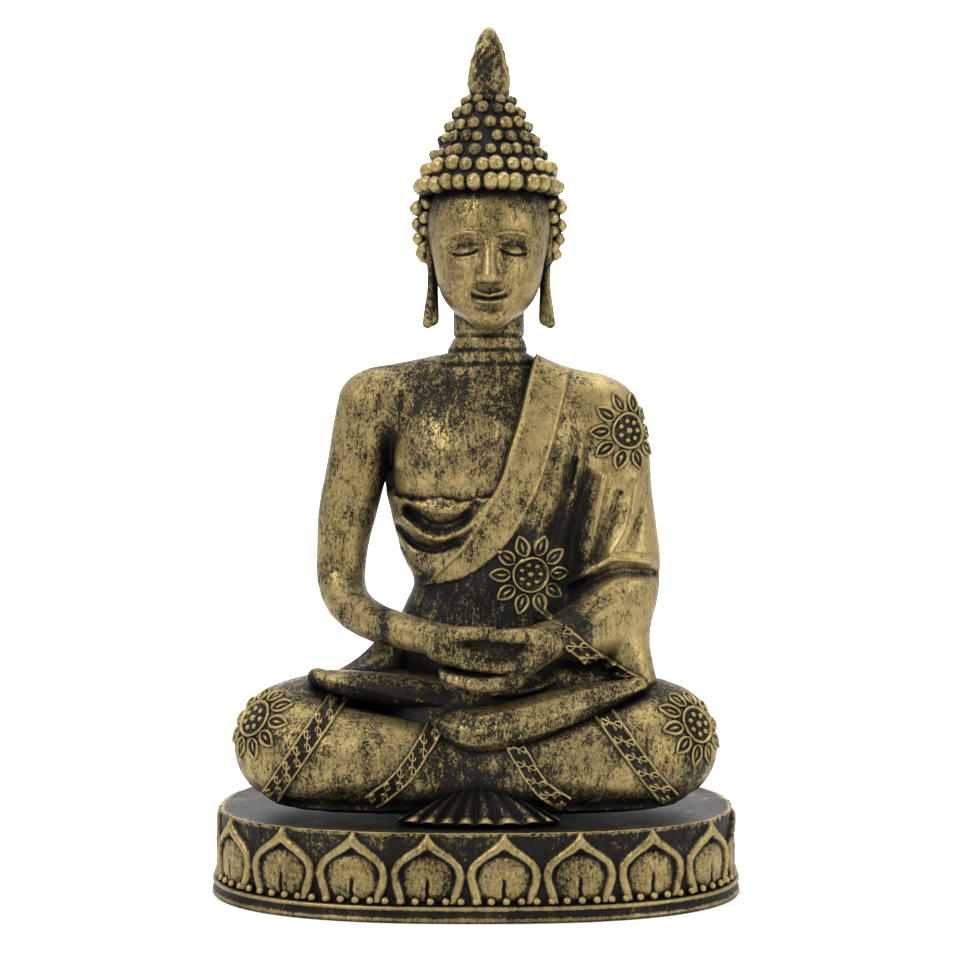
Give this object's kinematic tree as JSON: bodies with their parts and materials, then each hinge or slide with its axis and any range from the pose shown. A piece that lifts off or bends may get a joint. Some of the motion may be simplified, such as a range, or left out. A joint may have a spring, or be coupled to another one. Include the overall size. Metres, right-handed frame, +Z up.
{
  "type": "buddha statue",
  "caption": "Small seated meditating figure in a draped robe on an oval lotus plinth, cast and finished as worn antique gold.",
  "frame": {"origin": "middle of the plinth's underside, in the plane that it rests on", "axes": "+Z up, the figure faces -Y, +X is towards the figure's left hand"},
  "size_m": [0.123, 0.0774, 0.2],
  "materials": {
    "skin": "satin antique gold",
    "robe": "satin antique gold over dark",
    "ornament": "worn antique gold",
    "hair": "dark antique gold",
    "plinth": "worn antique gold",
    "felt": "felt"
  },
  "bodies": {
    "root": {"felt_pad": "felt", "plinth_body": "plinth", "foot_moulding": "plinth", "bead_string": "plinth", "lap": "robe", "right_leg": "robe", "left_leg": "robe", "right_foot": "skin", "left_foot": "skin", "skirt_fan": "robe", "torso": "skin", "right_arm": "skin", "right_hand": "skin", "left_hand": "skin", "left_sleeve": "robe", "shawl": "robe", "sash": "robe", "under_robe": "robe", "neck": "skin", "head": "skin", "urna": "skin", "right_ear": "skin", "left_ear": "skin", "hair_cap": "hair", "hair_curls": "hair", "topknot": "hair", "topknot_curls": "hair", "flame_finial": "hair", "shoulder_medallion": "ornament", "belly_medallion": "ornament", "right_knee_medallion": "ornament", "left_knee_medallion": "ornament", "right_outer_band": "ornament", "right_inner_band": "ornament", "left_inner_band": "ornament", "left_outer_band": "ornament", "cuff_band": "ornament", "lotus_petal_01": "plinth", "lotus_petal_02": "plinth", "lotus_petal_03": "plinth", "lotus_petal_04": "plinth", "lotus_petal_05": "plinth", "lotus_petal_06": "plinth", "lotus_petal_07": "plinth", "lotus_petal_08": "plinth", "lotus_petal_09": "plinth", "lotus_petal_10": "plinth", "lotus_petal_11": "plinth", "lotus_petal_12": "plinth", "lotus_petal_13": "plinth", "lotus_petal_14": "plinth", "lotus_petal_15": "plinth", "lotus_petal_16": "plinth", "lotus_petal_17": "plinth", "lotus_petal_18": "plinth", "lotus_petal_19": "plinth"}
  },
  "joints": []
}
